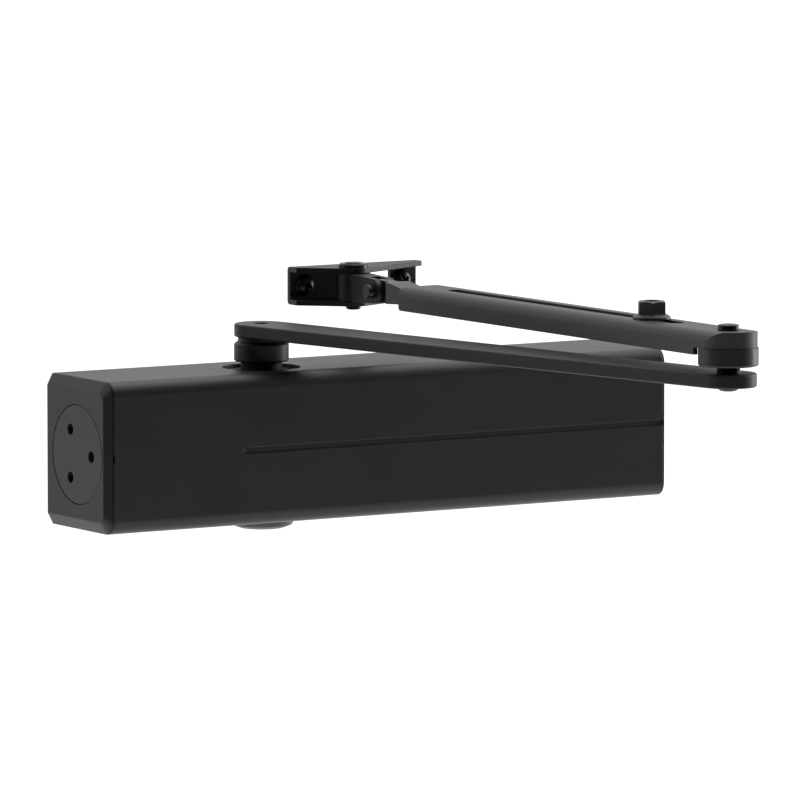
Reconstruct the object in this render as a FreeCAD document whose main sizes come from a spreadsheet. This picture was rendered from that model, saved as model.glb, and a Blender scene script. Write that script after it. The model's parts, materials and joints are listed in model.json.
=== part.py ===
import FreeCAD, Part
import math
import os

import Sketcher

# A rack-and-pinion door closer with a telescoping arm.
# Frame: the origin is the centre of the body's back face, +X runs along the body,
# +Y points into the door and +Z is up. Millimetres and degrees.

DIMENSIONS = {
    # body and cover
    "bodyLength": 262,
    "bodyDepth": 48,
    "bodyHeight": 60,
    "coverWall": 1.5,
    "coverRound": 5.5,
    "seamGap": 0.1,
    "coverEdge": 0.8,
    "bevelRun": 2.4,
    "bevelDrop": 4.6,
    "bevelBack": 3.6,
    "faceRound": 3.4,
    "grooveStart": 62,
    "grooveWidth": 2.5,
    "grooveDepth": 0.8,
    "notchWidth": 0.8,
    "notchHeight": 3,
    "screwSpanLong": 234,
    "screwSpanHigh": 47,
    "screwHole": 2.75,
    "screwHead": 4.5,
    "screwHeadDepth": 3.5,
    # cylinder bore and end plugs
    "boreRadius": 18,
    "plugRadius": 19.7,
    "plugSeat": 19.85,
    "plugDepth": 14,
    "plugChamfer": 0.4,
    "spannerHole": 2.3,
    "spannerCircle": 11,
    "spannerDepth": 6,
    "ringMajor": 18.38,
    "ringMinor": 1.45,
    "ringPlace": 8,
    # spindle
    "spindleFromEnd": 84,
    "journalRadius": 8.25,
    "spindleTop": 32.5,
    "spindleBottom": 31.5,
    "topSquare": 11,
    "topSquareHeight": 5.3,
    "lowSquare": 10,
    "neckRadius": 6.4,
    "journalStart": 18.3,
    "pinionHalf": 15,
    "gearModule": 1.75,
    "toothCount": 10,
    "addendum": 1.4,
    "dedendum": 1.75,
    "pressureAngle": 25,
    "backlash": 0.1,
    "spindleBore": 12.5,
    "nutRadius": 14.2,
    "nutHeight": 4,
    "sealRadius": 10.6,
    "runningGap": 0.05,
    "coverHole": 15.65,
    "capHole": 11,
    # piston, spring and adjuster
    "pistonFromCentre": 98,
    "pistonLength": 77,
    "pistonGap": 0.03,
    "slotFromPiston": 16,
    "slotLength": 47,
    "slotBack": 11.2,
    "springPocket": 8,
    "springMean": 13,
    "springWire": 4.5,
    "springTurns": 10,
    "seatFace": 96,
    "seatThickness": 6,
    "seatSpigot": 10.2,
    "adjusterRadius": 4,
    "adjusterCollar": 8,
    # valve screws
    "valveRadius": 3.2,
    "valveLength": 10,
    "valveHeight": 22.8,
    "valvePitch": 12,
    "valveFromCentre": 104,
    # main arm and hub
    "armAngle": -78.6,
    "armLength": 261,
    "armWidth": 21.6,
    "armThickness": 5.2,
    "armBottom": 42.2,
    "armEdge": 0.7,
    "hubRadius": 10.9,
    "hubGroove": 9.35,
    "hubShoulder": 40.6,
    "accessHole": 3.05,
    "armScrewRadius": 3,
    # elbow
    "elbowPin": 3,
    "elbowCollar": 4.65,
    "elbowRadius": 11,
    "knuckleRadius": 11.4,
    "elbowHead": 2.2,
    "elbowRivet": 1.8,
    "noseRelief": 7.2,
    "knuckleBottom": 50.1,
    "knuckleTop": 57,
    # forearm
    "forearmAngle": 91.07,
    "forearmLength": 262.5,
    "channelLength": 212,
    "channelBottom": 54.2,
    "channelTop": 63.5,
    "channelWall": 2,
    "channelRound": 4,
    "slotStart": 31.6,
    "slotEnd": 191,
    "slotHalf": 3.15,
    "nutPlace": 50.9,
    "barHalf": 8.4,
    "barThickness": 4.9,
    "barTravelIn": 3.5,
    "tiltFromPin": 21,
    "tiltHeight": 59.2,
    "tiltPin": 2.7,
    "tiltPinHalf": 7.4,
    "tongueHalf": 2,
    "earHalf": 4.4,
    "eyeRadius": 4.9,
    "barrelRadius": 6.8,
    # shoe
    "shoeBottom": 51.7,
    "shoeTop": 66.9,
    "shoeSheet": 2,
    "shoeBend": 1.6,
    "shoeLeft": 20.6,
    "shoeRight": 38.6,
    "shoeEarLeft": 7,
    "shoeEarRight": 6.5,
    "shoeNose": 6.2,
    "shoePin": 3,
    "shoeScrewLeft": -14,
    "shoeScrewSpan": 45.6,
    "shoeScrewRadius": 2.1,
    "shoeScrewShank": 2.4,
    "shoeScrewLength": 9,
    "shoeScrewPoint": 1.6,
}


class Size:
    """A number that also carries the sheet expression it comes from."""

    def __init__(self, value, text):
        self.value = float(value)
        self.text = text

    def __add__(self, other):
        other = as_size(other)
        return Size(self.value + other.value, f"({self.text} + {other.text})")

    def __sub__(self, other):
        other = as_size(other)
        return Size(self.value - other.value, f"({self.text} - {other.text})")

    def __mul__(self, other):
        other = as_size(other)
        return Size(self.value * other.value, f"({self.text} * {other.text})")

    def __truediv__(self, other):
        other = as_size(other)
        return Size(self.value / other.value, f"({self.text} / {other.text})")

    def __neg__(self):
        return Size(-self.value, f"(0 - {self.text})")

    def __radd__(self, other):
        return as_size(other) + self

    def __rsub__(self, other):
        return as_size(other) - self

    def __rmul__(self, other):
        return as_size(other) * self


def as_size(number):
    if isinstance(number, Size):
        return number
    return Size(number, f"({float(number)!r})")


def cosine(angle):
    return Size(math.cos(math.radians(angle.value)), f"cos({angle.text})")


def sine(angle):
    return Size(math.sin(math.radians(angle.value)), f"sin({angle.text})")


class Sheet:
    """The driving dimensions, each one a cell with an alias and an attribute here."""

    def __init__(self, document, table):
        sheet = document.addObject("Spreadsheet::Sheet", "Dimensions")
        for row, (alias, number) in enumerate(table.items(), start=1):
            sheet.set(f"A{row}", alias)
            sheet.set(f"B{row}", str(number))
            sheet.setAlias(f"B{row}", alias)
            setattr(self, alias, Size(number, f"Dimensions.{alias}"))
        document.recompute()


doc = FreeCAD.newDocument("DoorCloser")
dim = Sheet(doc, DIMENSIONS)
PI = Size(math.pi, "pi")

# places that several pieces share
half_length = dim.bodyLength / 2
half_height = dim.bodyHeight / 2
bore_y = -dim.bodyDepth / 2
spindle_x = dim.spindleFromEnd - half_length
spindle_y = bore_y
core_half_height = half_height - dim.coverWall
core_front = dim.coverWall - dim.bodyDepth
pitch_radius = dim.gearModule * dim.toothCount / 2
piston_left = -dim.pistonFromCentre
piston_right = piston_left + dim.pistonLength
arm_top = dim.armBottom + dim.armThickness
elbow_x = spindle_x + dim.armLength * cosine(dim.armAngle)
elbow_y = spindle_y + dim.armLength * sine(dim.armAngle)
shoe_x = elbow_x + dim.forearmLength * cosine(dim.forearmAngle)
shoe_y = elbow_y + dim.forearmLength * sine(dim.forearmAngle)
tilt_x = dim.forearmLength - dim.tiltFromPin
bar_top = dim.channelTop - dim.channelWall - 0.1
bar_bottom = bar_top - dim.barThickness


# ---------------------------------------------------------------- helpers


def bind(item, name, length):
    item.setExpression(name, as_size(length).text)


def vector(x, y, z=0):
    return FreeCAD.Vector(float(x), float(y), float(z))


def facing(z_axis, x_axis):
    """The rotation that turns local Z and X to these directions."""
    z_axis = FreeCAD.Vector(*z_axis)
    x_axis = FreeCAD.Vector(*x_axis)
    return FreeCAD.Rotation(x_axis, z_axis.cross(x_axis), z_axis, "ZXY")


UPRIGHT = facing((0, 0, 1), (1, 0, 0))
ALONG_X = facing((1, 0, 0), (0, -1, 0))
ALONG_MINUS_X = facing((-1, 0, 0), (0, -1, 0))
ALONG_Y = facing((0, 1, 0), (1, 0, 0))


def place(item, at=(0, 0, 0), turn=UPRIGHT):
    """Puts the item at these sheet-driven coordinates, turned by a fixed rotation."""
    item.Placement = FreeCAD.Placement(FreeCAD.Vector(), turn)
    for axis, coordinate in zip("xyz", at):
        bind(item, f"Placement.Base.{axis}", coordinate)


def place_on_arm(item, x, y, angle):
    """Puts the item at x, y, turned about Z by a sheet-driven angle."""
    item.Placement = FreeCAD.Placement(FreeCAD.Vector(), FreeCAD.Rotation(vector(0, 0, 1), angle.value))
    bind(item, "Placement.Base.x", x)
    bind(item, "Placement.Base.y", y)
    bind(item, "Placement.Rotation.Angle", angle)


def place_on_forearm(item):
    place_on_arm(item, elbow_x, elbow_y, dim.forearmAngle)


def new_body(label):
    body = doc.addObject("PartDesign::Body", label)
    body.Label = label
    return body


def sketch_on(body, role, offset=0):
    """A sketch on one of the body's own origin planes, moved along its normal."""
    sketch = body.newObject("Sketcher::SketchObject", body.Name + "_sketch")
    plane = next(feature for feature in body.Origin.OriginFeatures if feature.Role == role)
    sketch.AttachmentSupport = (plane, [""])
    sketch.MapMode = "FlatFace"
    bind(sketch, "AttachmentOffset.Base.z", offset)
    return sketch


def drive(sketch, kind, *where, value):
    """Adds a constraint whose value the sheet drives."""
    index = sketch.addConstraint(Sketcher.Constraint(kind, *where, value.value))
    sketch.setExpression(f"Constraints[{index}]", value.text)


def fix_point(sketch, curve, point, x, y):
    drive(sketch, "DistanceX", curve, point, value=x)
    drive(sketch, "DistanceY", curve, point, value=y)


def circle(sketch, x, y, radius):
    x, y, radius = as_size(x), as_size(y), as_size(radius)
    curve = sketch.addGeometry(Part.Circle(vector(x.value, y.value), vector(0, 0, 1), radius.value))
    fix_point(sketch, curve, 3, x, y)
    drive(sketch, "Radius", curve, value=radius)


def tangent_points(first, second):
    """Ends of the straight line from one corner circle to the next, the line keeping both
    circles on its left. A circle of radius 0 is a sharp corner, and one of negative radius
    is passed on its other side."""
    reach_x = second[0].value - first[0].value
    reach_y = second[1].value - first[1].value
    swing = math.asin((second[2].value - first[2].value) / math.hypot(reach_x, reach_y))
    heading = math.atan2(reach_y, reach_x) - swing
    left = vector(-math.sin(heading), math.cos(heading))
    return [vector(x.value, y.value) - left * radius.value for x, y, radius in (first, second)]


def outline(sketch, corners):
    """A closed counter-clockwise outline. A corner is (x, y) if sharp, or the centre and
    radius of the arc that rounds it, with a negative radius where it is hollow."""
    corners = [tuple(as_size(part) for part in (*corner, 0)[:3]) for corner in corners]
    count = len(corners)
    lines = []
    for k in range(count):
        start, end = tangent_points(corners[k], corners[(k + 1) % count])
        lines.append((sketch.addGeometry(Part.LineSegment(start, end)), start, end))
    for k in range(count):
        x, y, radius = corners[k]
        arriving, leaving = lines[k - 1], lines[k]
        if radius.value == 0:
            sketch.addConstraint(Sketcher.Constraint("Coincident", arriving[0], 2, leaving[0], 1))
            fix_point(sketch, leaving[0], 1, x, y)
            continue
        centre = vector(x.value, y.value)
        ends = [arriving[2], leaving[1]]
        if radius.value < 0:
            ends.reverse()
        angles = [math.atan2(*reversed((end - centre)[:2])) for end in ends]
        whole = Part.Circle(centre, vector(0, 0, 1), abs(radius.value))
        arc = sketch.addGeometry(Part.ArcOfCircle(whole, *angles))
        first, last = (1, 2) if radius.value > 0 else (2, 1)
        sketch.addConstraint(Sketcher.Constraint("Tangent", arriving[0], 2, arc, first))
        sketch.addConstraint(Sketcher.Constraint("Tangent", leaving[0], 1, arc, last))
        fix_point(sketch, arc, 3, x, y)
        drive(sketch, "Radius", arc, value=radius if radius.value > 0 else -radius)


def rectangle(sketch, left, low, right, high):
    outline(sketch, [(left, low), (right, low), (right, high), (left, high)])


def hexagon(sketch, across_flats, turn=0):
    """A hexagon round the sketch's origin, with a corner at the angle turn."""
    reach = as_size(across_flats / math.sqrt(3))
    angles = [as_size(turn + 60 * k) for k in range(6)]
    outline(sketch, [(reach * cosine(angle), reach * sine(angle)) for angle in angles])


def sweep(body, kind, sketch, length, symmetric, other_way):
    feature = body.newObject(f"PartDesign::{kind}", f"{body.Name}_{kind.lower()}")
    feature.Profile = sketch
    bind(feature, "Length", length)
    if symmetric:
        feature.SideType = "Symmetric"
    feature.Reversed = other_way
    return feature


def pad(body, sketch, length, symmetric=False, other_way=False):
    return sweep(body, "Pad", sketch, length, symmetric, other_way)


def pocket(body, sketch, length, symmetric=False, other_way=False):
    return sweep(body, "Pocket", sketch, length, symmetric, other_way)


def polar_copies(body, feature, count):
    """Repeats the feature evenly round the body's own Z axis."""
    pattern = body.newObject("PartDesign::PolarPattern", body.Name + "_pattern")
    pattern.Originals = [feature]
    axis = next(item for item in body.Origin.OriginFeatures if item.Role == "Z_Axis")
    pattern.Axis = (axis, [""])
    pattern.Angle = 360
    pattern.Occurrences = count
    body.Tip = pattern


def fillet(body, radius, wanted):
    """Rounds those edges of the body that wanted() picks."""
    doc.recompute()
    base = body.Tip
    names = [f"Edge{k}" for k, edge in enumerate(base.Shape.Edges, start=1) if wanted(edge)]
    feature = body.newObject("PartDesign::Fillet", body.Name + "_fillet")
    feature.Base = (base, names)
    bind(feature, "Radius", radius)


def turned(label, profile, at=(0, 0, 0), turn=UPRIGHT):
    """A round piece: its profile is (radius, height) corners, spun round local Z."""
    body = new_body(label)
    sketch = sketch_on(body, "XZ_Plane")
    outline(sketch, profile)
    spin = body.newObject("PartDesign::Revolution", label + "_spin")
    spin.Profile = sketch
    spin.ReferenceAxis = (sketch, ["V_Axis"])
    spin.Angle = 360
    place(body, at, turn)
    return body


# ---------------------------------------------------------------- body and cover


def section_outline(sketch, height, front, corner):
    """The body's cross-section: flat at the back, with rounded front corners."""
    centre = front + corner
    outline(sketch, [(0, -height), (0, height), (centre, height - corner, corner),
                     (centre, corner - height, corner)])


def make_closer_body():
    body = new_body("closer_body")
    core = sketch_on(body, "YZ_Plane")
    section_outline(core, core_half_height, core_front, dim.coverRound - dim.coverWall)
    pad(body, core, dim.bodyLength - 2 * dim.bevelRun, symmetric=True)
    for side in (-1, 1):
        wide = sketch_on(body, "YZ_Plane", side * (half_length - dim.bevelRun))
        section_outline(wide, half_height, -dim.bodyDepth, dim.coverRound)
        face = sketch_on(body, "YZ_Plane", side * half_length)
        section_outline(face, half_height - dim.bevelDrop, dim.bevelBack - dim.bodyDepth, dim.faceRound)
        loft = body.newObject("PartDesign::AdditiveLoft", "bevelled_end")
        loft.Profile = wide
        loft.Sections = [face]
    bore = sketch_on(body, "YZ_Plane")
    circle(bore, bore_y, 0, dim.boreRadius)
    pocket(body, bore, dim.bodyLength, symmetric=True)
    for side in (-1, 1):
        seat = sketch_on(body, "YZ_Plane", side * half_length)
        circle(seat, bore_y, 0, dim.plugSeat)
        pocket(body, seat, dim.plugDepth, other_way=side < 0)
    shaft = sketch_on(body, "XY_Plane")
    circle(shaft, spindle_x, spindle_y, dim.spindleBore)
    pocket(body, shaft, dim.bodyHeight, symmetric=True)
    for side in (-1, 1):
        thread = sketch_on(body, "XY_Plane", side * core_half_height)
        circle(thread, spindle_x, spindle_y, dim.nutRadius)
        pocket(body, thread, dim.nutHeight, other_way=side < 0)
    valves = sketch_on(body, "XZ_Plane", -core_front)
    for k in range(3):
        circle(valves, k * dim.valvePitch - dim.valveFromCentre, dim.valveHeight,
               dim.valveRadius + dim.runningGap)
    pocket(body, valves, dim.valveLength + 0.7)
    screws = sketch_on(body, "XZ_Plane")
    heads = sketch_on(body, "XZ_Plane", -core_front)
    for across in (-1, 1):
        for up in (-1, 1):
            spot = (across * dim.screwSpanLong / 2, up * dim.screwSpanHigh / 2)
            circle(screws, *spot, dim.screwHole)
            circle(heads, *spot, dim.screwHead)
    pocket(body, screws, 2 * dim.bodyDepth, symmetric=True)
    pocket(body, heads, dim.screwHeadDepth)
    return body


def make_front_cover():
    body = new_body("front_cover")
    section = sketch_on(body, "YZ_Plane")
    centre = dim.coverRound - dim.bodyDepth
    inner = dim.coverWall - dim.coverRound
    outline(section, [(0, half_height), (centre, half_height - dim.coverRound, dim.coverRound),
                      (centre, dim.coverRound - half_height, dim.coverRound), (0, -half_height),
                      (0, -core_half_height), (centre, dim.coverRound - half_height, inner),
                      (centre, half_height - dim.coverRound, inner), (0, core_half_height)])
    pad(body, section, dim.bodyLength - 2 * dim.bevelRun - 2 * dim.seamGap, symmetric=True)

    def outer_rim(edge):
        top, front = half_height.value - 0.1, 0.1 - dim.bodyDepth.value
        outside = all(abs(end.Z) > top or end.Y < front for end in edge.Vertexes)
        return outside and edge.BoundBox.XLength < 0.01

    fillet(body, dim.coverEdge, outer_rim)
    top = sketch_on(body, "XY_Plane", half_height)
    circle(top, spindle_x, spindle_y, dim.coverHole)
    pocket(body, top, 2 * dim.coverWall)
    low = sketch_on(body, "XY_Plane", -half_height)
    circle(low, spindle_x, spindle_y, dim.capHole)
    pocket(body, low, 2 * dim.coverWall, other_way=True)
    groove = sketch_on(body, "XZ_Plane", dim.bodyDepth)
    rectangle(groove, dim.grooveStart - half_length, -dim.grooveWidth / 2, half_length, dim.grooveWidth / 2)
    pocket(body, groove, dim.grooveDepth)
    notch = sketch_on(body, "XZ_Plane", dim.bodyDepth)
    rectangle(notch, -half_length, -dim.notchHeight / 2,
              dim.bevelRun + dim.notchWidth - half_length, dim.notchHeight / 2)
    pocket(body, notch, 2 * dim.coverWall)
    return body


def make_end_plug(label, side, hollow):
    """A threaded plug with three spanner holes. The hollow one lets the adjuster through."""
    radius, chamfer = dim.plugRadius, dim.plugChamfer
    root = dim.ringMajor - dim.ringMinor - 0.03
    near = dim.ringPlace - dim.ringMinor - 0.05
    far = dim.ringPlace + dim.ringMinor + 0.05
    inside = [(0, dim.plugDepth), (0, 0)]
    if hollow:
        passage = dim.adjusterRadius + dim.runningGap
        inside = [(passage, dim.plugDepth), (passage, 3), (5.5, 3), (5.5, 0)]
    profile = [(radius - chamfer, 0), (radius, chamfer), (radius, near), (root, near), (root, far),
               (radius, far), (radius, dim.plugDepth)] + inside
    body = turned(label, profile, (side * half_length, bore_y, 0), ALONG_X if side < 0 else ALONG_MINUS_X)
    hole = sketch_on(body, "XY_Plane")
    circle(hole, dim.spannerCircle, 0, dim.spannerHole)
    polar_copies(body, pocket(body, hole, dim.spannerDepth, other_way=True), 3)
    return body


def make_plug_seal(label, side):
    ring = doc.addObject("Part::Torus", label)
    ring.Label = label
    bind(ring, "Radius1", dim.ringMajor)
    bind(ring, "Radius2", dim.ringMinor)
    place(ring, (side * (half_length - dim.ringPlace), bore_y, 0), ALONG_X)
    return ring


# ---------------------------------------------------------------- spindle and its supports


def make_bearing(label, side):
    inner, outer = dim.journalRadius + dim.runningGap, dim.spindleBore
    low, high = dim.journalStart, core_half_height - dim.nutHeight
    profile = [(inner + 0.3, low), (outer - 0.3, low), (outer, low + 0.3), (outer, high - 0.3),
               (outer - 0.3, high), (inner + 0.3, high), (inner, high - 0.3), (inner, low + 0.3)]
    return turned(label, profile, (spindle_x, spindle_y, 0), spindle_side(side))


def spindle_side(side):
    """Pieces are drawn for the upper end, and turned over for the lower one."""
    return UPRIGHT if side > 0 else facing((0, 0, -1), (1, 0, 0))


def make_bearing_nut(label, side):
    outer, high = dim.nutRadius, core_half_height
    low = high - dim.nutHeight
    profile = [(9, low), (outer, low), (outer, high - 0.5), (outer - 0.5, high),
               (dim.sealRadius, high), (dim.sealRadius, low + 0.8), (9, low + 0.8)]
    body = turned(label, profile, (spindle_x, spindle_y, 0), spindle_side(side))
    slot = sketch_on(body, "XY_Plane", high)
    rectangle(slot, 11.6, -1.5, 16, 1.5)
    polar_copies(body, pocket(body, slot, 1.4), 4)
    return body


def make_spindle_seal(label, side):
    inner, outer = dim.journalRadius + dim.runningGap, dim.sealRadius
    low = core_half_height - dim.nutHeight + 0.8
    high = core_half_height - 0.5
    profile = [(inner, low), (outer, low), (outer, high), (outer - 0.8, high),
               (outer - 1.2, high - 0.6), (inner, high - 0.2)]
    return turned(label, profile, (spindle_x, spindle_y, 0), spindle_side(side))


def involute(angle):
    return math.tan(angle) - angle


def pinion_face():
    """Ten involute teeth, one of them pointing to the front."""
    pressure = math.radians(dim.pressureAngle.value)
    base = pitch_radius.value * math.cos(pressure)
    tip = pitch_radius.value + dim.addendum.value
    root = pitch_radius.value - dim.dedendum.value
    count = int(dim.toothCount.value)
    width = math.pi * dim.gearModule.value / 2 - dim.backlash.value
    half_at_base = width / (2 * pitch_radius.value) + involute(pressure)

    def point(radius, angle):
        return vector(radius * math.cos(angle), radius * math.sin(angle))

    def flank(middle, side):
        radii = [base + (tip - base) * (k / 4) ** 2 for k in range(5)]
        turns = [half_at_base - involute(math.acos(base / radius)) for radius in radii]
        return [point(radius, middle + side * turn) for radius, turn in zip(radii, turns)]

    edges = []
    for k in range(count):
        middle = 2 * math.pi * k / count - math.pi / 2
        rising, falling = flank(middle, -1), flank(middle, 1)
        next_rising = flank(middle + 2 * math.pi / count, -1)
        foot_in = point(root, middle - half_at_base)
        foot_out = point(root, middle + half_at_base)
        next_foot = point(root, middle + 2 * math.pi / count - half_at_base)
        between = point(root, middle + math.pi / count)
        up, down = Part.BSplineCurve(), Part.BSplineCurve()
        up.interpolate(rising)
        down.interpolate(falling[::-1])
        edges += [Part.LineSegment(foot_in, rising[0]).toShape(), up.toShape(),
                  Part.Arc(rising[-1], point(tip, middle), falling[-1]).toShape(), down.toShape(),
                  Part.LineSegment(falling[0], foot_out).toShape(),
                  Part.Arc(foot_out, between, next_foot).toShape()]
    return Part.Face(Part.Wire(edges))


def make_pinion():
    pinion = doc.addObject("Part::Feature", "pinion")
    height = 2 * dim.pinionHalf.value
    pinion.Shape = pinion_face().extrude(vector(0, 0, height))
    place(pinion, (spindle_x, spindle_y, -dim.pinionHalf))
    return pinion


def make_square(name, side_length, low, height):
    square = doc.addObject("Part::Box", name)
    bind(square, "Length", side_length)
    bind(square, "Width", side_length)
    bind(square, "Height", height)
    place(square, (spindle_x - side_length / 2, spindle_y - side_length / 2, low))
    return square


def make_spindle():
    """Journals, necks and pinion in one piece, a square at each end, and a thread down the top."""
    hole, neck, journal = dim.armScrewRadius, dim.neckRadius, dim.journalRadius
    top = dim.spindleTop + dim.topSquareHeight
    shaft = turned("spindle_shaft", [
        (0, -core_half_height), (journal, -core_half_height), (journal, -dim.journalStart),
        (neck, -dim.journalStart), (neck, dim.journalStart), (journal, dim.journalStart),
        (journal, dim.spindleTop - 0.4), (journal - 0.4, dim.spindleTop), (0, dim.spindleTop),
    ], (spindle_x, spindle_y, 0))
    solid = doc.addObject("Part::MultiFuse", "spindle_solid")
    solid.Shapes = [shaft, make_pinion(),
                    make_square("top_square", dim.topSquare, dim.spindleTop, dim.topSquareHeight),
                    make_square("low_square", dim.lowSquare, -dim.spindleBottom,
                                dim.spindleBottom - core_half_height)]
    thread = doc.addObject("Part::Cylinder", "spindle_thread")
    bind(thread, "Radius", hole)
    bind(thread, "Height", 14)
    place(thread, (spindle_x, spindle_y, top - 14))
    spindle = doc.addObject("Part::Cut", "spindle")
    spindle.Label = "spindle"
    spindle.Base = solid
    spindle.Tool = thread
    return spindle


def make_bottom_spindle_cap():
    low = -half_height
    profile = [(0, low - 4), (dim.capHole - 2.2, low - 4), (12, low - 2.8), (12.8, low - 1.4), (13, low),
               (dim.capHole - 0.05, low), (dim.capHole - 0.05, low + 1.3), (9.6, low + 1.3),
               (9.6, low - 2.4), (0, low - 2.4)]
    return turned("bottom_spindle_cap", profile, (spindle_x, spindle_y, 0))


# ---------------------------------------------------------------- piston, spring and adjuster


def make_piston():
    """A piston slotted for the pinion, with the rack cut along the front of the slot."""
    radius = dim.boreRadius - dim.pistonGap
    end, floor = dim.pistonLength, dim.pistonLength - dim.springPocket
    ring_root = radius - 1.45
    cup = dim.springMean + dim.springWire / 2 + 0.4
    profile = [(0, 0), (radius - 1, 0), (radius, 1), (radius, 4), (ring_root, 4), (ring_root, 6.6),
               (radius, 6.6), (radius, end), (cup, end), (cup, floor), (0, floor)]
    body = turned("piston", profile, (piston_left, bore_y, 0), ALONG_X)
    slope = math.tan(math.radians(dim.pressureAngle.value))
    tooth_pitch = PI * dim.gearModule
    tip_line = pitch_radius - dim.addendum
    root_line = pitch_radius + dim.dedendum
    middle = tooth_pitch / 4 + dim.backlash / 2
    wide = middle + dim.addendum * slope
    narrow = middle - dim.dedendum * slope
    start = dim.slotFromPiston
    finish = start + dim.slotLength
    meshing = spindle_x - piston_left
    corners = [(-dim.slotBack, start), (tip_line, start)]
    for k in range(-6, 3):
        space = meshing + k * tooth_pitch
        corners += [(tip_line, space - wide), (root_line, space - narrow),
                    (root_line, space + narrow), (tip_line, space + wide)]
    corners += [(tip_line, finish), (-dim.slotBack, finish)]
    slot = sketch_on(body, "XZ_Plane")
    outline(slot, corners)
    pocket(body, slot, 2 * dim.boreRadius, symmetric=True)
    port = sketch_on(body, "XY_Plane")
    circle(port, 0, 0, 4)
    pocket(body, port, dim.slotFromPiston + 1, other_way=True)
    return body


def make_piston_seal():
    radius = dim.boreRadius - dim.pistonGap
    root = radius - 1.45
    profile = [(root, 4.05), (radius, 4.05), (radius, 6.55), (root, 6.55)]
    return turned("piston_seal", profile, (piston_left, bore_y, 0), ALONG_X)


def make_piston_check_valve():
    profile = [(1.2, 0.5), (3.6, 0.5), (4, 0.9), (4, 11), (2.4, 11), (2.4, 5), (1.2, 3.6)]
    return turned("piston_check_valve", profile, (piston_left, bore_y, 0), ALONG_X)


def make_closing_spring():
    wire = dim.springWire.value
    start = piston_right.value - dim.springPocket.value + wire / 2 + 0.1
    end = dim.seatFace.value - wire / 2 - 0.1
    height = end - start
    radius = dim.springMean.value
    helix = Part.makeHelix(height / dim.springTurns.value, height, radius)
    ring = Part.Wire(Part.makeCircle(wire / 2, vector(radius, 0, 0), vector(0, 1, 0)))
    spring = doc.addObject("Part::Feature", "closing_spring")
    spring.Label = "closing_spring"
    spring.Shape = Part.Wire(helix.Edges).makePipeShell([ring], True, True)
    spring.Placement = FreeCAD.Placement(vector(start, bore_y.value, 0), ALONG_X)
    return spring


def make_spring_seat():
    bore = dim.adjusterRadius + dim.runningGap
    radius = dim.boreRadius - 2 * dim.pistonGap
    profile = [(bore, -6), (dim.seatSpigot - 1, -6), (dim.seatSpigot, -5), (dim.seatSpigot, 0),
               (radius, 0), (radius, dim.seatThickness), (bore, dim.seatThickness)]
    return turned("spring_seat", profile, (dim.seatFace, bore_y, 0), ALONG_X)


def make_spring_adjuster():
    """A screw drawn from its socket end, 3 mm inside the plug's face, towards the spring."""
    radius, collar = dim.adjusterRadius, dim.adjusterCollar
    shoulder = dim.plugDepth - 3 + dim.runningGap
    profile = [(0, 0), (radius - 0.4, 0), (radius, 0.4), (radius, shoulder), (collar, shoulder),
               (collar, shoulder + 4), (radius, shoulder + 4), (radius, 47.5), (radius - 0.5, 48), (0, 48)]
    body = turned("spring_adjuster", profile, (half_length - 3, bore_y, 0), ALONG_MINUS_X)
    socket = sketch_on(body, "XY_Plane")
    hexagon(socket, as_size(4))
    pocket(body, socket, 4, other_way=True)
    return body


def make_valve(label, order):
    """A needle valve screw with a screwdriver slot, set in the body's front face."""
    radius, length = dim.valveRadius, dim.valveLength
    profile = [(0, 0.3), (radius - 0.3, 0.3), (radius, 0.6), (radius, 3.2), (radius - 0.9, 3.2),
               (radius - 0.9, 4.6), (radius, 4.6), (radius, 6.6), (1.6, 7.4), (1.2, length - 0.8),
               (0, length)]
    x = order * dim.valvePitch - dim.valveFromCentre
    body = turned(label, profile, (x, core_front, dim.valveHeight), ALONG_Y)
    slot = sketch_on(body, "XY_Plane", 0.3)
    rectangle(slot, -dim.valveRadius, -0.5, dim.valveRadius, 0.5)
    pocket(body, slot, 1.1, other_way=True)
    return body


# ---------------------------------------------------------------- main arm


def make_arm_hub():
    outer, groove = dim.hubRadius, dim.hubGroove
    low, socket = dim.spindleTop, dim.spindleTop + dim.topSquareHeight
    profile = [(0, low), (outer - 0.5, low), (outer, low + 0.5), (outer, dim.hubShoulder - 1.3),
               (groove, dim.hubShoulder), (groove, dim.armBottom), (5.3, dim.armBottom),
               (5.3, socket + 1), (0, socket + 1)]
    body = turned("arm_hub", profile, (spindle_x, spindle_y, 0))
    square = sketch_on(body, "XY_Plane", low)
    half = dim.topSquare / 2
    rectangle(square, -half, -half, half, half)
    pocket(body, square, dim.topSquareHeight, other_way=True)
    hole = sketch_on(body, "XY_Plane", low)
    circle(hole, 0, 0, dim.armScrewRadius)
    pocket(body, hole, dim.topSquareHeight + 2, other_way=True)
    return body


def make_arm_screw():
    """The captive screw in the hub, reached by a key through the hole in the arm."""
    radius = dim.armScrewRadius
    under = dim.spindleTop + dim.topSquareHeight + 1
    profile = [(0, under - 13), (radius - 0.5, under - 13), (radius, under - 12.5), (radius, under),
               (5, under), (5, under + 2), (4.6, under + 2.4), (0, under + 2.4)]
    body = turned("arm_screw", profile, (spindle_x, spindle_y, 0))
    socket = sketch_on(body, "XY_Plane", under + 2.4)
    hexagon(socket, as_size(4))
    pocket(body, socket, 2)
    return body


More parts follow.
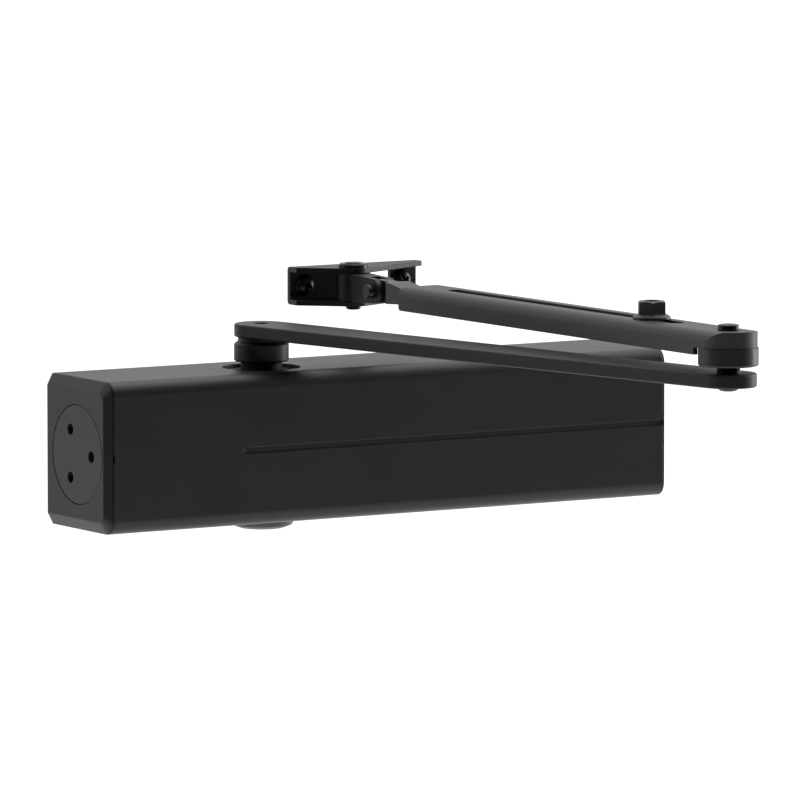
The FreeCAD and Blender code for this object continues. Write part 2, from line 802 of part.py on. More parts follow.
def make_main_arm():
    body = new_body("main_arm")
    half = dim.armWidth / 2
    plan = sketch_on(body, "XY_Plane", dim.armBottom)
    outline(plan, [(0, 0, half), (dim.armLength, 0, half)])
    pad(body, plan, dim.armThickness)
    fillet(body, dim.armEdge, lambda edge: edge.BoundBox.ZLength < 0.01)
    holes = sketch_on(body, "XY_Plane", arm_top)
    circle(holes, 0, 0, dim.accessHole)
    circle(holes, dim.armLength, 0, dim.elbowPin)
    pocket(body, holes, dim.armThickness)
    place_on_arm(body, spindle_x, spindle_y, dim.armAngle)
    return body


def make_elbow_pin():
    """Riveted under the arm, with a collar that lifts the knuckle clear of it."""
    pin, collar = dim.elbowPin, dim.elbowCollar
    low = dim.armBottom
    lift = dim.knuckleBottom - dim.runningGap
    high = dim.channelTop + dim.runningGap
    rivet, head = low - dim.elbowRivet, high + dim.elbowHead
    profile = [(0, rivet), (2.6, rivet + 0.1), (3.6, rivet + 0.6), (4, low - 0.4), (4, low), (pin, low),
               (pin, arm_top), (collar, arm_top), (collar, lift), (pin, lift), (pin, high), (4, high),
               (4, head - 0.6), (3.5, head), (0, head)]
    return turned("elbow_pin", profile, (elbow_x, elbow_y, 0))


# ---------------------------------------------------------------- forearm


def make_elbow_knuckle():
    hole = dim.elbowPin + dim.runningGap
    outer, boss = dim.knuckleRadius, dim.elbowRadius - dim.channelWall
    low, high = dim.knuckleBottom, dim.knuckleTop
    under_channel = dim.channelTop - dim.channelWall
    profile = [(hole, low), (outer - 0.8, low + 0.8, 0.8), (outer, high), (boss, high),
               (boss, under_channel), (hole, under_channel)]
    return turned("elbow_knuckle", profile, (elbow_x, elbow_y, 0))


def make_forearm_channel():
    """A channel open below, round along its top edges, with a slot and a closed round nose."""
    body = new_body("forearm_channel")
    outer, inner = dim.elbowRadius, dim.elbowRadius - dim.channelWall
    low, high, length = dim.channelBottom, dim.channelTop, dim.channelLength
    run = sketch_on(body, "XY_Plane", low)
    rectangle(run, -outer, -outer, length, outer)
    pad(body, run, high - low)

    def long_top_edge(edge):
        return edge.BoundBox.XLength > 50 and edge.CenterOfMass.z > high.value - 0.1

    fillet(body, dim.channelRound, long_top_edge)
    nose = sketch_on(body, "XY_Plane", high)
    outline(nose, [(-2 * outer, -2 * outer), (1, -2 * outer), (1, -outer), (0, 0, -outer), (1, outer),
                   (1, 2 * outer), (-2 * outer, 2 * outer)])
    pocket(body, nose, high)
    hollow = sketch_on(body, "XY_Plane", low)
    outline(hollow, [(0, 0, inner), (length + 1, -inner), (length + 1, inner)])
    pocket(body, hollow, high - low - dim.channelWall, other_way=True)
    relief = sketch_on(body, "XY_Plane", low)
    rectangle(relief, -2 * outer, -2 * outer, dim.noseRelief, 2 * outer)
    pocket(body, relief, dim.knuckleTop - low, other_way=True)
    slot = sketch_on(body, "XY_Plane", high)
    half = dim.slotHalf
    outline(slot, [(dim.slotStart + half, 0, half), (dim.slotEnd - half, 0, half)])
    pocket(body, slot, 2 * dim.channelWall)
    eye = sketch_on(body, "XY_Plane", high)
    circle(eye, 0, 0, dim.elbowPin + dim.runningGap)
    pocket(body, eye, 2 * dim.channelWall)

    def lower_end_corner(edge):
        box = edge.BoundBox
        return box.YLength > 1 and box.XLength < 0.01 and box.ZLength < 0.01 \
            and box.XMax > length.value - 0.1 and box.ZMax < low.value + 0.1

    fillet(body, 1.5, lower_end_corner)
    place_on_forearm(body)
    return body


def make_adjusting_bar():
    """The flat bar inside the channel, which thickens to a tongue for the tilt pin."""
    body = new_body("adjusting_bar")
    flat = sketch_on(body, "XY_Plane", bar_bottom)
    rectangle(flat, dim.nutPlace - 8, -dim.barHalf, dim.channelLength - 2, dim.barHalf)
    pad(body, flat, dim.barThickness)
    shoulder = sketch_on(body, "XZ_Plane")
    face = tilt_x - 9.6
    outline(shoulder, [(dim.channelLength - 6, bar_bottom), (face, dim.tiltHeight - 4.3),
                       (face, dim.tiltHeight + 4.3), (face - 4, dim.tiltHeight + 4.3),
                       (dim.channelLength + dim.barTravelIn, bar_top), (dim.channelLength - 6, bar_top)])
    pad(body, shoulder, 10.6, symmetric=True)
    tongue = sketch_on(body, "XZ_Plane")
    eye = dim.eyeRadius - 0.3
    outline(tongue, [(face - 3, dim.tiltHeight - 4.2), (tilt_x, dim.tiltHeight, eye),
                     (face - 3, dim.tiltHeight + 4.2)])
    pad(body, tongue, 2 * dim.tongueHalf, symmetric=True)
    bolt = sketch_on(body, "XY_Plane", bar_top)
    circle(bolt, dim.nutPlace, 0, 3)
    pocket(body, bolt, 2 * dim.barThickness)
    hole = sketch_on(body, "XZ_Plane")
    circle(hole, tilt_x, dim.tiltHeight, dim.tiltPin + dim.runningGap)
    pocket(body, hole, 4 * dim.tongueHalf, symmetric=True)

    def front_corner(edge):
        box = edge.BoundBox
        return box.ZLength > 3 and box.XLength < 0.01 and box.YLength < 0.01 \
            and abs(box.XMax - face.value) < 0.1 and abs(box.YMax) > 4

    fillet(body, 2.4, front_corner)
    place_on_forearm(body)
    return body


def on_forearm(along):
    """A point on the forearm's centre line, this far from the elbow."""
    return elbow_x + along * cosine(dim.forearmAngle), elbow_y + along * sine(dim.forearmAngle)


def make_adjusting_stud():
    low, high = bar_bottom - 1.2, dim.channelTop + 6.2
    profile = [(0, low), (5.6, low), (6, low + 0.4), (6, bar_bottom), (3, bar_bottom), (3, high - 0.5),
               (2.5, high), (0, high)]
    return turned("adjusting_stud", profile, (*on_forearm(dim.nutPlace), 0))


def make_flange_nut():
    """A hexagon nut with its own washer face, the hexagon's top corners turned off."""
    low = dim.channelTop + dim.runningGap
    hexagon_top = low + 6.9
    body = turned("flange_nut", [(3, low), (7.2, low), (7.2, low + 0.9), (5.4, low + 2), (3, low + 2)])
    prism = sketch_on(body, "XY_Plane", low + 1.5)
    hexagon(prism, as_size(10), 30)
    circle(prism, 0, 0, 3)
    pad(body, prism, 5.4)
    trim = sketch_on(body, "XZ_Plane")
    outline(trim, [(4.7, hexagon_top + 0.5), (4.7, hexagon_top), (6.4, hexagon_top - 1),
                   (6.4, hexagon_top + 0.5)])
    turn = body.newObject("PartDesign::Groove", "flange_nut_chamfer")
    turn.Profile = trim
    turn.ReferenceAxis = (trim, ["V_Axis"])
    turn.Angle = 360
    x, y = on_forearm(dim.nutPlace)
    place_on_arm(body, x, y, dim.forearmAngle)
    return body


# ---------------------------------------------------------------- shoe


def make_swivel_block():
    """A barrel on the shoe pin, with two ears that carry the tilt pin."""
    body = new_body("swivel_block")
    low, high = dim.shoeBottom + dim.shoeSheet + 0.2, dim.shoeTop - dim.shoeSheet - 0.2
    pin_x = dim.forearmLength
    barrel = sketch_on(body, "XY_Plane", low)
    circle(barrel, pin_x, 0, dim.barrelRadius)
    pad(body, barrel, high - low)
    ears = sketch_on(body, "XZ_Plane")
    outline(ears, [(pin_x, low), (pin_x, high), (pin_x - 8, high), (tilt_x, dim.tiltHeight, dim.eyeRadius),
                   (pin_x - 8, low)])
    pad(body, ears, 2 * dim.earHalf, symmetric=True)
    gap = sketch_on(body, "XY_Plane")
    rectangle(gap, 0, -dim.tongueHalf - 0.2, tilt_x + dim.eyeRadius + 1, dim.tongueHalf + 0.2)
    pocket(body, gap, 200, symmetric=True)
    hole = sketch_on(body, "XY_Plane")
    circle(hole, pin_x, 0, dim.shoePin + dim.runningGap)
    pocket(body, hole, 200, symmetric=True)
    cross = sketch_on(body, "XZ_Plane")
    circle(cross, tilt_x, dim.tiltHeight, dim.tiltPin)
    pocket(body, cross, 40, symmetric=True)
    place_on_forearm(body)
    return body


def make_tilt_pin():
    body = new_body("tilt_pin")
    section = sketch_on(body, "XZ_Plane")
    circle(section, tilt_x, dim.tiltHeight, dim.tiltPin)
    pad(body, section, 2 * dim.tiltPinHalf, symmetric=True)
    fillet(body, 0.5, lambda edge: edge.BoundBox.YLength < 0.01)
    place_on_forearm(body)
    return body


def make_shoe_bracket():
    """Sheet folded to a channel, its two flanges narrowing to a nose round the pin."""
    body = new_body("shoe_bracket")
    low, high, sheet, bend = dim.shoeBottom, dim.shoeTop, dim.shoeSheet, dim.shoeBend
    plan = sketch_on(body, "XY_Plane", low)
    outline(plan, [(-dim.shoeLeft, -dim.shoeEarLeft), (shoe_x, shoe_y, dim.shoeNose),
                   (dim.shoeRight, -dim.shoeEarRight), (dim.shoeRight, 0), (-dim.shoeLeft, 0)])
    pad(body, plan, high - low)

    def back_edge(edge):
        return edge.BoundBox.XLength > 50 and edge.CenterOfMass.y > -0.01

    fillet(body, bend, back_edge)
    gap = sketch_on(body, "YZ_Plane")
    front = 2 * shoe_y
    rectangle(gap, front, low + sheet, -sheet, high - sheet)
    pocket(body, gap, 200, symmetric=True)
    window = sketch_on(body, "XZ_Plane")
    rectangle(window, 8, low + 3.4, 26.5, high - 3)
    pocket(body, window, 4 * sheet, symmetric=True)
    holes = sketch_on(body, "XZ_Plane")
    for k in range(2):
        circle(holes, dim.shoeScrewLeft + k * dim.shoeScrewSpan, dim.tiltHeight, dim.shoeScrewShank)
    pocket(body, holes, 4 * sheet, symmetric=True)
    pin = sketch_on(body, "XY_Plane")
    circle(pin, shoe_x, shoe_y, dim.shoePin)
    pocket(body, pin, 200, symmetric=True)
    return body


def make_shoe_pin():
    pin, low, high = dim.shoePin, dim.shoeBottom - 1.6, dim.shoeTop
    profile = [(0, low), (pin - 0.5, low), (pin, low + 0.5), (pin, high), (5.85, high), (5.85, high + 1.2),
               (5.4, high + 1.7), (3.4, high + 1.7), (3.2, high + 2.1), (0, high + 2.1)]
    return turned("shoe_pin", profile, (shoe_x, shoe_y, 0))


def make_shoe_screw(order):
    """A pan-head screw with a cross recess, from its crown back through the web."""
    radius, length = dim.shoeScrewRadius, dim.shoeScrewLength
    shank, sheet = dim.shoeScrewShank, dim.shoeSheet
    profile = [(0, -2.8), (1.6, -2.65), (3.0, -2.1), (3.9, -1.2), (4.35, 0), (shank, 0),
               (shank, sheet), (radius, sheet), (radius, length - dim.shoeScrewPoint), (0, length)]
    x = dim.shoeScrewLeft + order * dim.shoeScrewSpan
    body = turned(f"shoe_screw_{order + 1}", profile, (x, -dim.shoeSheet, dim.tiltHeight), ALONG_Y)
    recess = sketch_on(body, "XY_Plane", -3)
    outline(recess, [(2.2, -0.45), (2.2, 0.45), (0.45, 0.45), (0.45, 2.2), (-0.45, 2.2), (-0.45, 0.45),
                     (-2.2, 0.45), (-2.2, -0.45), (-0.45, -0.45), (-0.45, -2.2), (0.45, -2.2), (0.45, -0.45)])
    pocket(body, recess, 2, other_way=True)
    return body


def make_shoe_screws():
    pair = doc.addObject("Part::Compound", "shoe_screws")
    pair.Label = "shoe_screws"
    pair.Links = [make_shoe_screw(0), make_shoe_screw(1)]
    return pair


# ---------------------------------------------------------------- the whole closer


def make_all():
    pieces = [make_closer_body(), make_front_cover(), make_bottom_spindle_cap(),
              make_end_plug("left_end_plug", -1, False), make_end_plug("right_end_plug", 1, True)]
    for end, side in (("left", -1), ("right", 1)):
        pieces.append(make_plug_seal(f"{end}_plug_seal", side))
    for end, side in (("upper", 1), ("lower", -1)):
        pieces.append(make_bearing(f"{end}_bearing", side))
        pieces.append(make_bearing_nut(f"{end}_bearing_nut", side))
        pieces.append(make_spindle_seal(f"{end}_spindle_seal", side))
    pieces += [make_piston(), make_piston_seal(), make_piston_check_valve(), make_closing_spring(),
               make_spring_seat(), make_spring_adjuster()]
    for order, name in enumerate(("closing_speed_valve", "latching_speed_valve", "back_check_valve")):
        pieces.append(make_valve(name, order))
    pieces += [make_spindle(), make_arm_hub(), make_arm_screw(), make_main_arm(), make_elbow_pin(),
               make_elbow_knuckle(), make_forearm_channel(), make_adjusting_bar(), make_adjusting_stud(),
               make_flange_nut(), make_swivel_block(), make_tilt_pin(), make_shoe_bracket(),
               make_shoe_pin(), make_shoe_screws()]
    return pieces


def check(pieces):
    """Stops if a feature failed, a cut took nothing away, or a piece isn't one sound shape."""
    for item in doc.Objects:
        if {"Invalid", "Error"} & set(item.State):
            raise RuntimeError(f"{item.Label} did not compute")
        if item.TypeId in ("PartDesign::Pocket", "PartDesign::Groove"):
            if item.Shape.Volume > item.BaseFeature.Shape.Volume - 1e-3:
                raise RuntimeError(f"{item.Label} cuts nothing")
    for piece in pieces:
        if piece.Shape.isNull() or not piece.Shape.isValid():
            raise RuntimeError(f"{piece.Label} has no valid shape")
        print(piece.Label, len(piece.Shape.Solids), round(piece.Shape.Volume, 1))


all_pieces = make_all()
doc.recompute()
check(all_pieces)
os.makedirs("parts", exist_ok=True)
for piece in all_pieces:
    piece.Shape.exportStep(f"parts/{piece.Label}.step")
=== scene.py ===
import json
import math
import bpy
import numpy as np
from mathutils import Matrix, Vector


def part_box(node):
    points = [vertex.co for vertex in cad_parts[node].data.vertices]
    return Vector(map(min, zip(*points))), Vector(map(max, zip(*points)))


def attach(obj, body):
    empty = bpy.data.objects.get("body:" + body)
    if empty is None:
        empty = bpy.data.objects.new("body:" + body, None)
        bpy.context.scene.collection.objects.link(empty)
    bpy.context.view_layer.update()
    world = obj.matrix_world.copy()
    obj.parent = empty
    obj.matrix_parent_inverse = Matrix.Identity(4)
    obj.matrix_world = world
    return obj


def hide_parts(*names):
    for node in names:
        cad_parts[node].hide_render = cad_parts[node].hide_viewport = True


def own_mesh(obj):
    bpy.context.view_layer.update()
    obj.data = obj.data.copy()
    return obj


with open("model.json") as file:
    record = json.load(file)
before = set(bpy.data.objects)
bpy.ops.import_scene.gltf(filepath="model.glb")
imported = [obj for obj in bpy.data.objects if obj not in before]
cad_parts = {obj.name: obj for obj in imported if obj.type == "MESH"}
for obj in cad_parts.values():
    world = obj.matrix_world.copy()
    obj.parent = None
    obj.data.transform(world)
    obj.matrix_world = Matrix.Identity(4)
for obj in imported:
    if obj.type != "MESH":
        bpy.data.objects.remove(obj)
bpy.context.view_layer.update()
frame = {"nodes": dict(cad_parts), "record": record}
mm = 0.001
print("frame loaded:", len(frame["nodes"]), "nodes")


# Shader maths

class Wire:
    # A socket that adds Math nodes when it stands in an expression.
    def __init__(self, shader, socket):
        self.shader = shader
        self.socket = socket

    def combine(self, operation, first, second):
        return self.shader.node("ShaderNodeMath", {"operation": operation}, {0: first, 1: second})

    def __add__(self, other):
        return self.combine("ADD", self, other)

    def __sub__(self, other):
        return self.combine("SUBTRACT", self, other)

    def __rsub__(self, other):
        return self.combine("SUBTRACT", other, self)

    def __mul__(self, other):
        return self.combine("MULTIPLY", self, other)

    __radd__ = __add__
    __rmul__ = __mul__

    def clamped(self, low, high):
        # 0 below low, 1 above high, straight between them
        return self.shader.node("ShaderNodeMapRange", {"clamp": True},
                                {"Value": self, "From Min": low, "From Max": high})


class Shader:
    # A node tree, with one method that adds any node, sets it and links its sockets.
    def __init__(self, tree):
        self.tree = tree
        tree.nodes.clear()

    def node(self, kind, settings=None, sockets=None, output=0):
        made = self.tree.nodes.new(kind)
        for key, value in (settings or {}).items():
            setattr(made, key, value)
        for key, value in (sockets or {}).items():
            if isinstance(value, Wire):
                self.tree.links.new(value.socket, made.inputs[key])
            else:
                made.inputs[key].default_value = value
        return Wire(self, made.outputs[output]) if len(made.outputs) else made

    def mix(self, factor, first, second):
        return self.node("ShaderNodeMix", {"data_type": "RGBA"}, {0: factor, 6: first, 7: second}, 2)

    def noise(self, place, scale, detail, roughness):
        return self.node("ShaderNodeTexNoise", {}, {"Vector": place, "Scale": scale, "Detail": detail,
                                                    "Roughness": roughness})

    def dot(self, first, second):
        return self.node("ShaderNodeVectorMath", {"operation": "DOT_PRODUCT"},
                         {0: first, 1: second}, "Value")


# Where each mask starts and ends, as noise levels, or as 1 - cosine of the turn at an edge.
masks = {"rubbedAndHighlit": (0.02, 0.25), "patches": (0.62, 1.0), "grains": (0.45, 0.75), "clouds": (0.3, 0.75)}
ringRough = 0.12


def finishOf(name, look):
    # Base colour: a tone with slow cloudy variation and fine specks, lighter in patches along edges, as
    # rubbed wear and as a painted edge highlight.
    # Height: a coarse ripple, a fine grain and, on bare metal, rings round an axis through the origin.
    material = bpy.data.materials.new(name)
    material.use_nodes = True
    shader = Shader(material.node_tree)
    place = shader.node("ShaderNodeTexCoord", output="Object")
    cloud = shader.noise(place, look["cloudScale"], detail=4.0, roughness=0.6)
    grain = shader.noise(place, look["grainScale"], detail=3.0, roughness=0.65)
    ripple = shader.noise(place, look["rippleScale"], detail=1.0, roughness=0.4)
    rounded = shader.node("ShaderNodeBevel", {"samples": 6}, {"Radius": look["edgeRadius"]})
    flat = shader.node("ShaderNodeNewGeometry", output="Normal")
    turn = 1 - shader.dot(rounded, flat)
    # Edge mask for rubbed wear and a painted edge highlight.
    rubbedAndHighlit = turn.clamped(*masks["rubbedAndHighlit"]) * (cloud + grain * 0.5).clamped(*masks["patches"])
    tone = [*look["colour"], 1.0]
    light = [*[min(1.0, c * look["lift"]) for c in look["colour"]], 1.0]
    wornAndHighlitTone = [*look["wornAndHighlitTone"], 1.0]
    speck = grain.clamped(*masks["grains"]) * 0.5 + cloud.clamped(*masks["clouds"]) * 0.5
    colour = shader.mix(speck, tone, light)
    # Edges turn lighter in patches: rubbed wear and painted edge highlight.
    colour = shader.mix(rubbedAndHighlit * look["wearAndHighlight"], colour, wornAndHighlitTone)
    rough = look["rough"] + (cloud - 0.5) * look["roughCloud"] + (grain - 0.5) * look["roughGrain"]
    height = ripple * look["ripple"] + grain * look["grain"]
    if "rings" in look:
        across = {"Y": (1, 0, 1), "Z": (1, 1, 0)}[look["axis"]]
        flattened = shader.node("ShaderNodeVectorMath", {"operation": "MULTIPLY"}, {0: place, 1: across})
        far = shader.node("ShaderNodeVectorMath", {"operation": "LENGTH"}, {0: flattened}, "Value")
        along = shader.dot(place, [1 - part for part in across])
        reach = far * look["ringScale"] + along * look["ringScale"]
        rings = shader.node("ShaderNodeTexNoise", {"noise_dimensions": "1D"},
                            {"W": reach, "Scale": 1.0, "Detail": 3.0})
        height = height + rings * look["rings"]
        rough = rough + (rings - 0.5) * ringRough
    bumped = shader.node("ShaderNodeBump", {}, {"Height": height, "Distance": look["depth"],
                                                "Strength": 1.0, "Normal": rounded})
    surface = shader.node("ShaderNodeBsdfPrincipled", {}, {
        "Base Color": colour, "Roughness": rough, "Metallic": look["metal"], "Normal": bumped,
        "Specular IOR Level": look["specular"], "IOR": 1.5})
    shader.node("ShaderNodeOutputMaterial", {}, {"Surface": surface})
    return material


# One dictionary for each finish. Scales are per metre, depths in metres.
powderCoat = {"colour": (0.0065, 0.0065, 0.0068), "wornAndHighlitTone": (0.03, 0.03, 0.031), "lift": 1.6, "wearAndHighlight": 0.35,
              "cloudScale": 22, "grainScale": 2600, "rippleScale": 700, "ripple": 0.5, "grain": 0.5,
              "depth": 0.00004, "rough": 0.42, "roughCloud": 0.10, "roughGrain": 0.08,
              "metal": 0.0, "specular": 0.36, "edgeRadius": 0.0004}
armPaint = dict(powderCoat, colour=(0.006, 0.006, 0.0064), rough=0.48, rippleScale=420, ripple=0.8,
                grain=0.3, edgeRadius=0.00035, wornAndHighlitTone=(0.035, 0.035, 0.036), wearAndHighlight=0.4)
mouldedPlastic = dict(powderCoat, rough=0.46, grainScale=3400, ripple=0.1, depth=0.00003,
                      edgeRadius=0.0003, wearAndHighlight=0.2)
blackSteel = dict(powderCoat, colour=(0.006, 0.006, 0.0064), rough=0.34, grain=0.35, ripple=0.2,
                  depth=0.00003, edgeRadius=0.0002, wornAndHighlitTone=(0.05, 0.05, 0.05), wearAndHighlight=0.5)
bareSteel = dict(powderCoat, colour=(0.40, 0.40, 0.41), wornAndHighlitTone=(0.6, 0.6, 0.61), lift=1.2, metal=1.0,
                 rough=0.32, edgeRadius=0.0002, rings=0.7, ringScale=2400, axis="Z", depth=0.00003)
turnedBrass = dict(bareSteel, colour=(0.62, 0.44, 0.20), wornAndHighlitTone=(0.8, 0.65, 0.4), rough=0.28, axis="Y")
springWire = dict(bareSteel, colour=(0.22, 0.22, 0.235), rough=0.35)
springWire.pop("rings")
sealRubber = dict(powderCoat, colour=(0.012, 0.012, 0.012), rough=0.62, specular=0.3, depth=0.00005,
                  edgeRadius=0.0002, wearAndHighlight=0.1)

# Near-black and dull: painted shade for the pieces down in the top hole.
paintedShadeSteel = dict(blackSteel, colour=(0.0025, 0.0025, 0.0027), rough=0.6, specular=0.2, wearAndHighlight=0.15)
nutSteel = dict(blackSteel, colour=(0.026, 0.026, 0.0265), rough=0.38)
forearmPaint = dict(armPaint, colour=(0.018, 0.018, 0.0184), rough=0.50, specular=0.5)
knucklePaint = dict(armPaint, colour=(0.007, 0.007, 0.0073), rough=0.42, specular=0.5)
barPaint = dict(armPaint, rough=0.36, specular=0.45)
plugPaint = dict(powderCoat, colour=(0.015, 0.015, 0.0154))
capPlastic = dict(mouldedPlastic, colour=(0.04, 0.04, 0.0405))

finishes = {"black_casing": powderCoat, "black_plastic": mouldedPlastic, "black_arm": armPaint,
            "black_fastener": blackSteel, "steel": bareSteel, "brass": turnedBrass,
            "spring_steel": springWire, "rubber": sealRubber}
materials = {slotName: finishOf(slotName, look) for slotName, look in finishes.items()}
# Some pieces differ a little from the rest of their slot. The spindle, the upper bearing nut and the upper
# spindle seal, down in the top hole, get a near-black dull colour that is painted shade of the hole.
special = {"upper_bearing_nut": paintedShadeSteel, "spindle": paintedShadeSteel, "upper_spindle_seal": paintedShadeSteel,
           "flange_nut": nutSteel, "forearm_channel": forearmPaint, "elbow_knuckle": knucklePaint,
           "adjusting_bar": barPaint, "left_end_plug": plugPaint, "right_end_plug": plugPaint,
           "bottom_spindle_cap": capPlastic}

for part in frame["record"]["subparts"]:
    node = frame["nodes"][part["node"]]
    node.data.materials.clear()
    if part["node"] in special:
        node.data.materials.append(finishOf(part["node"] + "_finish", special[part["node"]]))
    else:
        node.data.materials.append(materials[part["material_slot"]])
print("finishes:", len(materials))


# Turned and coiled pieces

sharpAngle = math.radians(38)


def addPiece(name, shells, body, slotName, node):
    # Each shell is rings of points, as an array (ring, point in ring, xyz), with one point that closes
    # each end. Neighbouring rings join into quads, and an end point fans out to its ring. The sign of the
    # enclosed volume, the sum of a . (b x c) / 6 over triangles, says whether the faces point outwards.
    points, faces, total = [], [], 0
    for rings, first, last in shells:
        count, around = rings.shape[:2]
        k = np.arange(around)
        after = (k + 1) % around
        rows = np.arange(count - 1)[:, None] * around
        quads = np.stack([rows + k, rows + after, rows + around + after, rows + around + k], -1)
        quads = quads.reshape(-1, 4)
        end = (count - 1) * around
        caps = np.concatenate([np.stack([after, k, np.full(around, count * around)], 1),
                               np.stack([end + k, end + after, np.full(around, count * around + 1)], 1)])
        flat = np.concatenate([rings.reshape(-1, 3), [first, last]])
        corners = np.concatenate([quads[:, [0, 1, 2]], quads[:, [0, 2, 3]], caps])
        a, b, c = (flat[corners[:, i]] for i in range(3))
        if (a * np.cross(b, c)).sum() < 0:
            quads, caps = quads[:, ::-1], caps[:, ::-1]
        faces += (quads + total).tolist() + (caps + total).tolist()
        points.append(flat)
        total += len(flat)
    mesh = bpy.data.meshes.new(name)
    mesh.from_pydata(np.concatenate(points).tolist(), [], faces)
    mesh.shade_smooth()
    mesh.set_sharp_from_angle(angle=sharpAngle)
    piece = bpy.data.objects.new(name, mesh)
    bpy.context.scene.collection.objects.link(piece)
    piece.data.materials.append(materials[slotName])
    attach(piece, body)
    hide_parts(node)
    return piece


# A thread deepens to its full depth over this part of a pitch.
threadRunOut = 0.6


def turnedShell(piece):
    # A profile of (along, radius) turned round an axis. On the thread the radius drops by
    # depth * |2 * fraction(along / pitch - angle / full turn) - 1|, which winds a groove.
    # A cross recess sinks the head where |x| or |y| is under its half width and the radius under its reach.
    profile = np.array(piece["profile"], float)
    run = np.concatenate([[0], np.cumsum(np.hypot(*np.diff(profile, axis=0).T))])
    fine = np.unique(np.concatenate([run, np.arange(0, run[-1], piece["step"])]))
    along = np.interp(fine, run, profile[:, 0])[:, None]
    radius = np.interp(fine, run, profile[:, 1])[:, None]
    angle = np.linspace(0, 2 * math.pi, piece["around"], endpoint=False)[None, :]
    if "thread" in piece:
        thread = piece["thread"]
        wave = np.abs(2 * np.mod(along / thread["pitch"] - angle / (2 * math.pi), 1) - 1)
        inside = np.minimum(along - thread["from"], thread["to"] - along)
        fade = np.clip(inside / (threadRunOut * thread["pitch"]), 0, 1)
        radius = radius - thread["depth"] * wave * fade * (radius > thread["core"])
    else:
        radius = radius + 0 * angle
    x, y = radius * np.cos(angle), radius * np.sin(angle)
    sunk = np.zeros_like(x)
    if "cross" in piece:
        cross = piece["cross"]
        inArm = 1 - np.clip((np.minimum(np.abs(x), np.abs(y)) - cross["half"]) / cross["soft"], 0, 1)
        inReach = 1 - np.clip((np.hypot(x, y) - cross["reach"]) / cross["soft"], 0, 1)
        sunk = cross["depth"] * inArm * inReach * (along < cross["below"])
    axis = np.array(piece["axis"], float)
    side = np.cross(axis, (0.0, 0.0, 1.0) if abs(axis[2]) < 0.9 else (1.0, 0.0, 0.0))
    side /= np.linalg.norm(side)
    turn = piece.get("turn", 0.0)
    side = side * math.cos(turn) + np.cross(axis, side) * math.sin(turn)
    other = np.cross(axis, side)
    centre = np.array(piece["centre"], float)
    rings = centre + mm * (axis * (along + sunk)[..., None] + side * x[..., None] + other * y[..., None])
    first = centre + mm * axis * (along[0, 0] + sunk[0].max())
    last = centre + mm * axis * along[-1, 0]
    return rings, first, last


def coilShell(coil):
    # A round wire along a helix. The coil's angle grows evenly, and so does its place along the axis,
    # except at each end, where it grows by one wire a turn, so that those turns lie flat on each other.
    t = np.linspace(0, 1, coil["steps"])
    flat = coil["flatEnds"]
    rise = np.clip(t, flat, 1 - flat)
    rise = (rise - flat) / (1 - 2 * flat)
    reach = coil["end"] - coil["start"]
    closed = coil["wire"] * flat * coil["turns"]
    place = coil["start"] + (reach - 2 * closed) * rise
    place = place + closed * (np.clip(t / flat, 0, 1) + np.clip((t - 1 + flat) / flat, 0, 1))
    angle = 2 * math.pi * coil["turns"] * t
    mean = coil["mean"]
    path = np.stack([place, coil["y"] + mean * np.cos(angle), coil["z"] + mean * np.sin(angle)], 1)
    ahead = np.gradient(path, axis=0)
    ahead /= np.linalg.norm(ahead, axis=1)[:, None]
    out = np.stack([0 * t, np.cos(angle), np.sin(angle)], 1)
    up = np.cross(ahead, out)
    section = np.linspace(0, 2 * math.pi, coil["around"], endpoint=False)[None, :, None]
    taper = np.clip(np.minimum(t, 1 - t) * coil["steps"] / coil["tipSteps"], coil["tipThick"], 1)
    thick = (coil["wire"] / 2 * taper)[:, None, None]
    rings = path[:, None] + thick * (np.cos(section) * out[:, None] + np.sin(section) * up[:, None])
    return rings * mm, path[0] * mm, path[-1] * mm


def boxMm(node):
    low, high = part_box(node)
    return np.array(low) / mm, np.array(high) / mm


# The pin that joins the two arms, riveted below, with a threaded collar between them.
pinLow, pinHigh = boxMm("elbow_pin")
armTop = boxMm("main_arm")[1][2]
knuckleLow = boxMm("elbow_knuckle")[0][2]
channelTop = boxMm("forearm_channel")[1][2]
elbow = {"centre": (*((pinLow + pinHigh)[:2] / 2 * mm), 0.0), "axis": (0, 0, 1), "around": 96, "step": 0.12,
         "shank": 2.98, "collar": 4.65, "head": 4.0,
         "thread": {"pitch": 0.9, "depth": 0.5, "core": 4.0,
                    "from": armTop + 0.05, "to": knuckleLow - 0.05}}
elbow["profile"] = [(pinLow[2], 0), (pinLow[2] + 0.08, 2.2), (pinLow[2] + 0.35, 3.2),
                    (pinLow[2] + 0.8, 3.75), (pinLow[2] + 1.4, elbow["head"]),
                    (pinLow[2] + 1.78, elbow["head"]), (pinLow[2] + 1.8, elbow["shank"]),
                    (armTop, elbow["shank"]), (armTop, elbow["collar"]),
                    (knuckleLow - 0.1, elbow["collar"]), (knuckleLow - 0.1, elbow["shank"]),
                    (channelTop + 0.05, elbow["shank"]), (channelTop + 0.05, elbow["head"] - 0.12),
                    (channelTop + 0.17, elbow["head"]), (pinHigh[2] - 0.55, elbow["head"]),
                    (pinHigh[2] - 0.3, elbow["head"] - 0.1), (pinHigh[2] - 0.08, elbow["head"] - 0.38),
                    (pinHigh[2], elbow["head"] - 0.8), (pinHigh[2], 1.7), (pinHigh[2] - 0.25, 1.4),
                    (pinHigh[2] - 0.3, 0)]
addPiece("elbowPin", [turnedShell(elbow)], "arm", "black_fastener", "elbow_pin")

